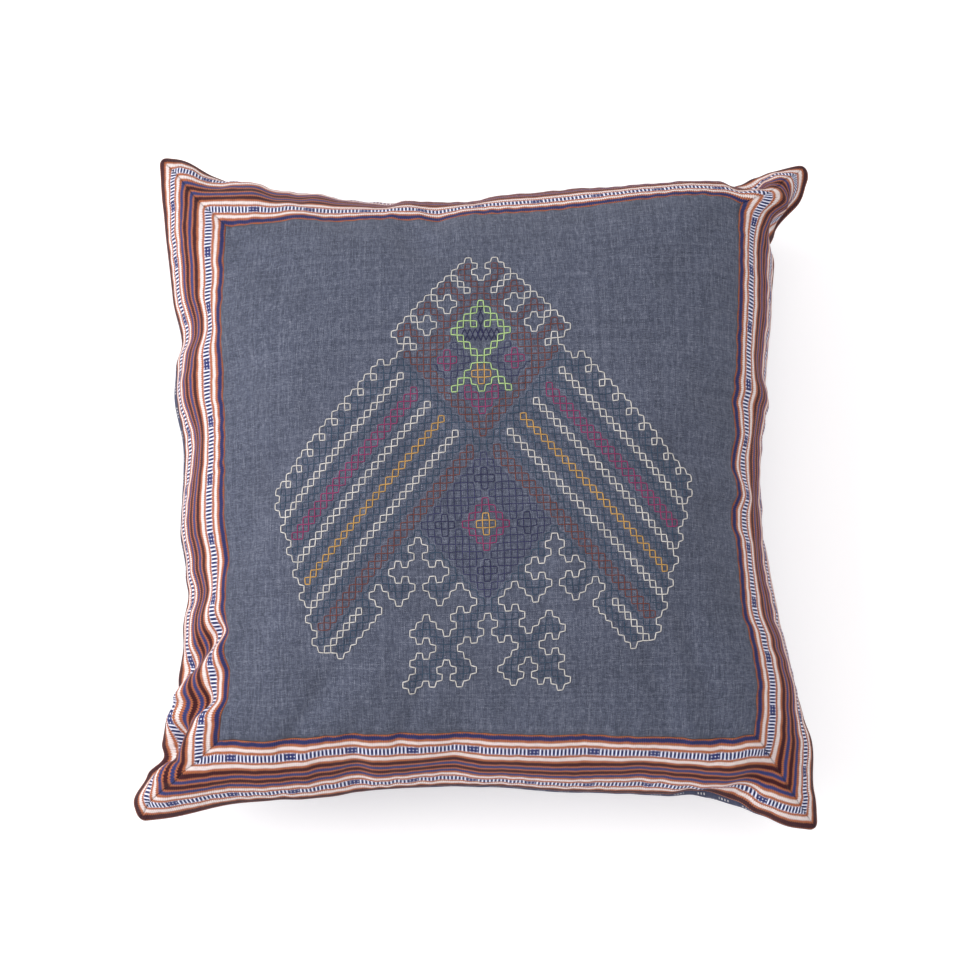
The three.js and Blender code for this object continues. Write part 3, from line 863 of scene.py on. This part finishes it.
# %% [markdown]
# ## Back cloth
#
# Where the back shows, round the seam, it is a slate cloth with short groups of white ticks woven in near its
# edge. The rest of the back isn't in the photograph, and is finished as the same plain cloth.

# %% Back cloth
BACK_COLOUR, TICK_COLOUR = (0.055, 0.062, 0.112), (0.6, 0.58, 0.6, 1)
BACK_SLUBS = (6.0, 11.0)
TICK, TICK_GROUP, TICK_ROWS = 2.2, 17.0, 4.2  # millimetres: from tick to tick, from group to group, row to row
TICK_SHARE, GROUP_SHARE, ROW_SHARE = 0.42, 0.45, 0.6  # of each that is white, and not a gap
TICK_BAND = (1.0, 20.0)  # millimetres in from the seam

back_material, tree, surface = cloth_surface("slate_back_cloth", roughness=0.9)
u, v = cloth_coordinates(tree)
shade, height = plain_weave(u, v, PANEL_THREAD, *BACK_SLUBS)
in_u, in_v = (maths("MINIMUM", t, 2 * HALF_COVER - t) for t in (u, v))
from_seam = maths("MINIMUM", in_u, in_v)
along = choose(in_v > in_u, u, v)  # in_v is the larger at the left and right sides
staggered = along + maths("FLOOR", from_seam / TICK_ROWS) * (0.5 * TICK_GROUP)
in_group = staggered % TICK_GROUP < GROUP_SHARE * TICK_GROUP
in_row = from_seam % TICK_ROWS < ROW_SHARE * TICK_ROWS
in_band = maths("COMPARE", from_seam, sum(TICK_BAND) / 2, (TICK_BAND[1] - TICK_BAND[0]) / 2)
ticked = (along % TICK < TICK_SHARE * TICK) * in_group * (in_row * in_band)
colour = blend_colour(ticked, toned(BACK_COLOUR, spread(shade, 0.25, 0.75, 0.45, 1.6)), TICK_COLOUR)
finish_cloth(surface, colour, height + ticked, depth=0.12)
print("back cloth: ticks in a band", TICK_BAND, "mm from the seam")

# %% [markdown]
# ## The filled back
#
# The back cloth and the filling are one closed body: its upper side lies just under the front pieces, and its
# lower side rests on the floor.

# %% Filled back
BODY_STEPS = 168
RIM_CLOSER = 0.35  # share of the spacing that draws the grid's lines together towards the seam
UNDER_FRONT = 2.3  # millimetres below the front's face

even = np.linspace(-1, 1, BODY_STEPS + 1)
spots = (np.sin(even * np.pi / 2) * RIM_CLOSER + even * (1 - RIM_CLOSER)) * HALF_COVER
grid_u, grid_v = np.meshgrid(spots, spots, indexing="ij")
upper = front_cloth(grid_u, grid_v) - outward(front_form, grid_u, grid_v) * UNDER_FRONT
lower = back_cloth(grid_u, grid_v)
on_seam = edge_distance(grid_u, grid_v) < 1e-6
upper[on_seam] = lower[on_seam]
_, used, faces = sewn_grids(grid_u, grid_v)
body_points = np.concatenate([upper.reshape(-1, 3), lower.reshape(-1, 3)])[used]
body_uv = np.tile(np.stack([grid_u, grid_v], axis=-1).reshape(-1, 2), (2, 1))[used] + HALF_COVER
back = make_piece("filled_back", body_points, faces, body_uv, back_material)
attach(back, "root")
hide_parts("back_panel")
print("filled back:", len(faces), "squares")

# %% [markdown]
# ## The front panel and its frame
#
# The panel is one sheet over the crown. Each border strip is a sheet too, from the panel's seam out to the edge,
# cut at 45 degrees at both ends. All five are thin grids with a thickness, and neighbours share a seam line that
# both roll down into.

# %% Front panel
PANEL_STEPS = 188
CLOTH = 1.1  # millimetres of cloth with its turnings
STITCH_GAP = 0.15  # from a sheet's edge to the seam line

spots = np.linspace(-1, 1, PANEL_STEPS + 1) * (HALF_PANEL - STITCH_GAP)
grid_u, grid_v = np.meshgrid(spots, spots, indexing="ij")
flat = np.stack([grid_u, grid_v], axis=-1).reshape(-1, 2)
squares = squares_of(PANEL_STEPS + 1, PANEL_STEPS + 1)
points = front_cloth(grid_u, grid_v).reshape(-1, 3)
panel = make_piece("front_panel_cloth", points, squares, flat + HALF_COVER, panel_cloth)
thicken(panel, CLOTH)
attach(panel, "root")
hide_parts("front_panel")
print("panel:", len(flat), "points")

# %% Border strips
STRIP_ROWS, STRIP_COLUMNS = 36, 250
ROWS_CLOSER = 0.06  # draws the rows together towards both seams
STRIPS = {"right": (-1.1, 1.1), "top": (8.2, 1.0), "left": (2.1, 1.0), "bottom": (12.9, 1.0)}
# A strip's first number shifts its ladder's blocks, in millimetres; its second is how much it is gathered.

squares = squares_of(STRIP_ROWS + 1, STRIP_COLUMNS + 1)
out = np.linspace(0, 1, STRIP_ROWS + 1)
ring = HALF_PANEL + STITCH_GAP + (BORDER - STITCH_GAP) * (out - ROWS_CLOSER * np.sin(2 * np.pi * out))[:, None]
along = np.linspace(-1, 1, STRIP_COLUMNS + 1)[None, :] * (ring - STITCH_GAP)
ring = np.broadcast_to(ring, along.shape)
for side, (shift, gathered) in STRIPS.items():
    c, s = OUTWARD[side]
    points = front_cloth(ring * c - along * s, ring * s + along * c).reshape(-1, 3)
    place = (along + HALF_COVER) * gathered + shift
    flat = np.stack([place, ring - HALF_PANEL], axis=-1).reshape(-1, 2)
    strip = make_piece(f"border_{side}_cloth", points, squares, flat, band_cloth)
    thicken(strip, CLOTH)
    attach(strip, "root")
    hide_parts(f"border_{side}")
print("four strips,", along.size, "points each")

# %% [markdown]
# ## Counted-thread embroidery
#
# The winged figure is sewn by counting: every stitch runs from hole to hole of a square grid, so the whole figure
# can be written as rules on cells. The two halves mirror each other, so the rules only use the distance a from the
# middle column, and the row j. "near" is a stepped diamond round a cell, and the smallest one is a plus sign. Drawing
# it by hand as curves would take far longer and lose the counting that makes such work what it is.

# %% The counted grid
CELL = (4.43, 4.97)  # millimetres of one cell along u and v
FIGURE_MIDDLE = (1.5, -45.3)  # the cell (0, 0), which is the middle of the flower on the body
COLUMNS, ROWS = np.arange(-34, 35), np.arange(-24, 41)
column, j = np.meshgrid(COLUMNS, ROWS, indexing="ij")
a = abs(column)


def near(centre_a, centre_j, steps=1):
    """The cells within so many steps of a cell: |a - centre_a| + |j - centre_j| <= steps."""
    return abs(a - centre_a) + abs(j - centre_j) <= steps


def cells(*places):
    """Single cells, by their (a, j)."""
    return np.any([(a == place_a) & (j == place_j) for place_a, place_j in places], axis=0)


print("grid of", a.size, "cells,", CELL, "mm each")

# %% The figure's outline
head = (j >= 24) & (j <= 37) & (a + j <= 39) & (j - a >= 13) & ~((a <= 1) & (j == 37)) & ~near(0, 35)
head &= ~near(5, 30) & ~near(8, 27)

stair, rest = np.divmod(3 - j, 3)  # the wing's outer side: in by one for each row, out again every third row
outer = np.where(j > 3, np.minimum(37 - j, np.where(j == 4, 31, 32)), 32 - stair - rest)
outer = np.where(j >= 22, np.where(j == 22, 13, 35 - j), outer)
shoulders_and_body = (j <= 24) & (j >= -8) & (a <= outer) | cells((15, 22))
wing_tips = (j < -8) & (j >= -16) & (a <= outer) & (a >= np.maximum(5 - j, 27 + j)) & ~cells((24, -16))
wing_tips |= cells((22, -17))
to_tooth = np.min([abs(a - middle) for middle in (4, 10, 16)], axis=0)
teeth = (j >= -10) & (j <= -8) & (to_tooth <= -8 - j)
skirt = (j < -8) & (j >= -10) & (a <= 14) | (a <= 1) & (j == -11)

tail = near(3, -13, 3) | near(9, -14, 2) | near(6, -16, 2) | near(4, -19, 2) | near(9, -19, 3) | near(11, -21)
for gap in ((0, -13), (6, -13), (3, -10), (3, -16), (9, -16), (6, -19), (12, -19), (9, -22)):
    tail &= ~near(*gap)
side_cross = near(10, -6, 2) | near(10, -3) | near(13, -6) | near(7, -6) | near(10, -9)
low_cross = near(0, -16, 2) | near(0, -13) | near(3, -16)

figure = (head | (shoulders_and_body | skirt) & ~teeth | wing_tips) & ~side_cross | tail & ~low_cross
print("figure:", int(figure.sum()), "cells")

# %% [markdown]
# ## Stitches on the grid
#
# Every edge between two cells may hold one stitch. Threads are "painted" on the edges in order, dull lattice first,
# bright outlines last, so that each edge keeps the last thread laid on it. A set of cells can be sewn all over, or
# only round its outside, where a cell of the set meets one that isn't.

# %% Laying threads on the edges
THREADS = ["teal", "indigo", "rust", "navy", "magenta", "ochre", "lime", "cream"]
upright = np.full((len(COLUMNS) + 1, len(ROWS)), -1)  # the edge to the left of each cell
level = np.full((len(COLUMNS), len(ROWS) + 1), -1)  # the edge below each cell


def lay(thread, where, outline=False):
    """Lays a thread on the edges of a set of cells: all of them, or those on the set's outside only."""
    sides = np.pad(where, ((1, 1), (0, 0)))
    ends = np.pad(where, ((0, 0), (1, 1)))
    join = np.logical_xor if outline else np.logical_or
    number = THREADS.index(thread) if thread else -1
    upright[join(sides[1:], sides[:-1])] = number
    level[join(ends[:, 1:], ends[:, :-1])] = number


def chain(total, first, last):
    """A slanting chain of cells that touch at their corners: a + j = total, with a from first to last."""
    return (a + j == total) & (a >= first) & (a <= last)


rust_frame = (j >= 12) & (a <= 13) & (j - a >= 12) & ((j - a <= 13) | (a + j >= 30)) & figure
flower = abs(column) + abs(j)
lay("teal", figure)
lay("indigo", figure & ((j - a >= 12) | (flower <= 9)))
lay("rust", rust_frame)
lay("rust", chain(12, 2, 25) | chain(11, 2, 25) & (j >= -13))
lay("navy", near(0, 6) | near(0, -6) | near(6, 0))
lay("magenta", chain(28, 10, 29) | chain(27, 10, 28))
lay("magenta", near(5, 22) | (a <= 2) & ((j - a == 15) | (j - a == 16)))
lay("magenta", (flower == 2) | (flower == 3))
lay("ochre", chain(20, 6, 27))
lay("ochre", near(0, 0))
print("lattice, bands and flowers laid")

# %% The crest and the outlines
crest_ring = near(0, 26, 4) & ~near(0, 26, 3)
crest_fork = cells((0, 22), (0, 21), (1, 21), (0, 20), (1, 20), (2, 20), (0, 19), (1, 19), (3, 19), (0, 18), (4, 18))
slits = cells((4, 34), (3, 33), (2, 32), (7, 31), (10, 28), (11, 25), (10, 24))
hooks = chain(36, 16, 30) & (a % 2 == 0)
pale_chains = chain(32, 12, 30) | chain(24, 8, 28) | chain(16, 4, 26) | chain(8, 19, 24)

lay(None, near(0, 26, 3))
for thread, where in (("lime", crest_fork), ("ochre", near(0, 20)), ("cream", figure)):
    lay(thread, where, outline=thread != "ochre")
lay("lime", crest_ring | cells((1, 27)))
lay("cream", slits | hooks | pale_chains)
print({thread: int((upright == n).sum() + (level == n).sum()) for n, thread in enumerate(THREADS)}, "stitches")

# %% [markdown]
# ## Sewing the stitches
#
# A stitch is a short length of twisted cotton that comes up through one hole and goes down through the next, so it
# is a low arch, thickest in the middle. Each is five rings of six points and two end points, 60 triangles. Where
# an outline turns a corner, the pull of the next stitch draws both ends a little to the inside. All stitches of one
# thread are one mesh, and all of them are placed in one go with arrays.

# %% Stitch ends
WOBBLE, CORNER_PULL = 0.09, 0.42  # millimetres
ASKEW_OVER = 30  # cells, for the millimetres in ASKEW
ASKEW = dict(turn=(-1.8, 3.0), wings_up=3.1, wider=4.9, taller=3.2, head=(-1.9, 2.1), tip=3.5)
wobble = np.random.default_rng(11).normal(0, WOBBLE, (len(COLUMNS) + 1, len(ROWS) + 1, 2))


def on_grid(x, y):
    """The (u, v) of a place given in cells from the figure's middle. Hand work is never quite square: with s and t
    the place over ASKEW_OVER, it is turned, bowed by s^2, t^2 and t^3, and its cells are widest in the middle."""
    s, t = x / ASKEW_OVER, y / ASKEW_OVER
    along = ASKEW["turn"][0] * t + ASKEW["wider"] * (s - s**3) + ASKEW["head"][0] * t * t + ASKEW["tip"] * t**3
    rise = ASKEW["turn"][1] * s + ASKEW["taller"] * (t - t**3) + ASKEW["head"][1] * t * t + ASKEW["wings_up"] * s * s
    return np.stack([FIGURE_MIDDLE[0] + CELL[0] * x + along, FIGURE_MIDDLE[1] + CELL[1] * y + rise], axis=-1)


def stitches_of(number):
    """The ends of every stitch of a thread, with their holes' small wobble, and how far each end is pulled to the
    inside of a corner where just two stitches meet."""
    x, y = np.nonzero(upright == number)
    x2, y2 = np.nonzero(level == number)
    start = np.concatenate([np.stack([x, y], 1), np.stack([x2, y2], 1)])
    end = np.concatenate([np.stack([x, y + 1], 1), np.stack([x2 + 1, y2], 1)])
    pull, meeting = np.zeros_like(wobble), np.zeros(wobble.shape[:2])
    for here, there in ((start, end), (end, start)):
        np.add.at(pull, tuple(here.T), there - here)
        np.add.at(meeting, tuple(here.T), 1)
    pull = pull * (CORNER_PULL * (meeting == 2))[..., None]
    first_corner = np.array([COLUMNS[0], ROWS[0]]) - 0.5
    holes = [on_grid(*(ends + first_corner).T) + wobble[tuple(ends.T)] for ends in (start, end)]
    return np.stack(holes, axis=1), np.stack([pull[tuple(ends.T)] for ends in (start, end)], axis=1)


def zigzag(middle, reach, first, last, step, upwards=False):
    """Slanting stitches from first to last that sway round a middle by its reach: middle, out, middle, back."""
    run = np.arange(first, last + step / 2, step)
    sway = middle + reach * np.sin(np.pi / 2 * np.arange(len(run)))
    places = on_grid(sway, run) if upwards else on_grid(run, sway)
    return np.stack([places[:-1], places[1:]], axis=1)


print("cream stitches:", len(stitches_of(THREADS.index("cream"))[0]))

# %% Stitch shape
RING_PLACES = np.array([0.0, 0.25, 0.5, 0.75, 1.0])  # along the stitch
RING_WIDTHS = np.array([0.8, 1.0, 1.04, 1.0, 0.8])
RING_LIFTS = np.array([0.10, 0.34, 0.40, 0.34, 0.10])  # in widths of the thread
RING_SIDES = 6
FLATTENED = 0.75  # a thread's height in its widths
END_REACH = 0.1  # of the last ring's spacing, beyond it
END_SINK = 0.3  # millimetres under the cloth


def stitch_points(holes, pulls, width):
    """Rings round a low arch from hole to hole, and two end points under the cloth: a ring's point is
    centre + half width * (cos turn * sideways + FLATTENED sin turn * outward)."""
    share = RING_PLACES[None, :, None]
    ends = holes + pulls
    flat = ends[:, :1] * (1 - share) + ends[:, 1:] * share
    spots = front_cloth(flat[..., 0], flat[..., 1])
    facing = outward(front_cloth, flat[..., 0], flat[..., 1])
    sideways = np.cross(facing, spots[:, -1:] - spots[:, :1])
    sideways /= np.linalg.norm(sideways, axis=-1, keepdims=True)
    turn = (np.arange(RING_SIDES) / RING_SIDES - 0.25) * 2 * np.pi  # from the hidden underside round
    around = np.cos(turn)[:, None] * sideways[:, :, None] + FLATTENED * np.sin(turn)[:, None] * facing[:, :, None]
    centres = spots + facing * (RING_LIFTS * width)[:, None]
    rings = centres[:, :, None] + (RING_WIDTHS * width / 2)[:, None, None] * around
    beyond = np.stack([spots[:, 0] - spots[:, 1], spots[:, -1] - spots[:, -2]], axis=1) * END_REACH
    tips = spots[:, [0, -1]] + beyond - facing[:, [0, -1]] * END_SINK
    return np.concatenate([rings.reshape(len(holes), -1, 3), tips], axis=1)


POINTS_EACH = len(RING_PLACES) * RING_SIDES + 2
turn = np.arange(RING_SIDES)
after = (turn + 1) % RING_SIDES
rings_start = np.arange(len(RING_PLACES) - 1)[:, None] * RING_SIDES
here, beside = rings_start + turn, rings_start + after
STITCH_QUADS = np.stack([here, beside, beside + RING_SIDES, here + RING_SIDES], axis=-1).reshape(-1, 4)
last_ring = POINTS_EACH - 2 - RING_SIDES
STITCH_ENDS = np.concatenate([
    np.stack([np.full(RING_SIDES, POINTS_EACH - 2), after, turn], axis=-1),
    np.stack([np.full(RING_SIDES, POINTS_EACH - 1), last_ring + turn, last_ring + after], axis=-1),
])
print(len(STITCH_QUADS) * 2 + len(STITCH_ENDS), "triangles a stitch")

# %% Thread finish
PLY = 0.75  # millimetres from ply to ply along the thread
PLIES = 2.0  # crossed in one turn round the thread
DYE, FUZZ = 90.0, 4000.0  # uneven dye and fine fuzz, in steps per metre


def thread_finish(thread, colour):
    """Twisted cotton: two plies slant round the thread, with painted shade darker in the grooves between them, and the
    dye is a little uneven along it.
    """
    material, tree, surface = cloth_surface(f"{thread}_thread", roughness=0.72, sheen=0.1)
    along, around = cloth_coordinates(tree)
    ply = sine(along / PLY + around * PLIES)
    object_place = Wire(add(tree, "ShaderNodeTexCoord").node.outputs["Object"])
    dye, fuzz = (
        add(tree, "ShaderNodeTexNoise", {"Vector": object_place, "Scale": scale, "Detail": detail})
        for scale, detail in ((DYE, 2.0), (FUZZ, 1.0))
    )
    # the ply term is painted shade, lighter on each ply's crest and darker in its groove, as the bump is; the dye
    # noise is uneven dye
    tone = (ply * 0.09 + 0.95) * spread(dye, 0.3, 0.7, 0.82, 1.15)
    finish_cloth(surface, toned(colour, tone), ply + fuzz, depth=0.05)
    return material


print("thread finish ready")

# %% Sewing all the threads
LOOKS = {  # width in millimetres, colour
    "teal": (0.52, (0.027, 0.064, 0.116)),
    "indigo": (0.52, (0.029, 0.029, 0.103)),
    "rust": (0.58, (0.18, 0.046, 0.032)),
    "navy": (0.62, (0.018, 0.018, 0.078)),
    "magenta": (0.64, (0.30, 0.028, 0.125)),
    "ochre": (0.74, (0.60, 0.34, 0.09)),
    "lime": (0.80, (0.47, 0.66, 0.27)),
    "cream": (0.74, (0.70, 0.66, 0.62)),
}
CREST_FILL = [(25.5, 0.85, -2.8, 2.8, 0.4, False), (0, 0.43, 24.6, 29.9, 1.06, True)]  # as zigzag takes them, in cells
crest_fill = [zigzag(middle, way * reach, *rest) for middle, reach, *rest in CREST_FILL for way in (1, -1)]
round_it = np.append(np.tile(np.arange(RING_SIDES) / RING_SIDES, len(RING_PLACES)), [0.5, 0.5])

for number, thread in enumerate(THREADS):
    width, tint = LOOKS[thread]
    holes, pulls = stitches_of(number)
    if thread == "navy":
        holes = np.concatenate([holes, *crest_fill])
        pulls = np.concatenate([pulls, np.zeros((len(holes) - len(pulls), 2, 2))])
    points = stitch_points(holes, pulls, width)
    first = (np.arange(len(holes)) * POINTS_EACH)[:, None, None]
    faces = (STITCH_QUADS + first).reshape(-1, 4).tolist() + (STITCH_ENDS + first).reshape(-1, 3).tolist()
    length = np.linalg.norm(holes[:, 1] - holes[:, 0], axis=-1)[:, None]
    run = np.append(np.repeat(RING_PLACES, RING_SIDES), [0, 1]) * length
    flat = np.stack([run, np.broadcast_to(round_it, run.shape)], axis=-1).reshape(-1, 2)
    piece = make_piece(f"stitches_{thread}", points.reshape(-1, 3), faces, flat, thread_finish(thread, tint))
    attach(piece, "root")
    print(f"{thread}: {len(holes)} stitches")
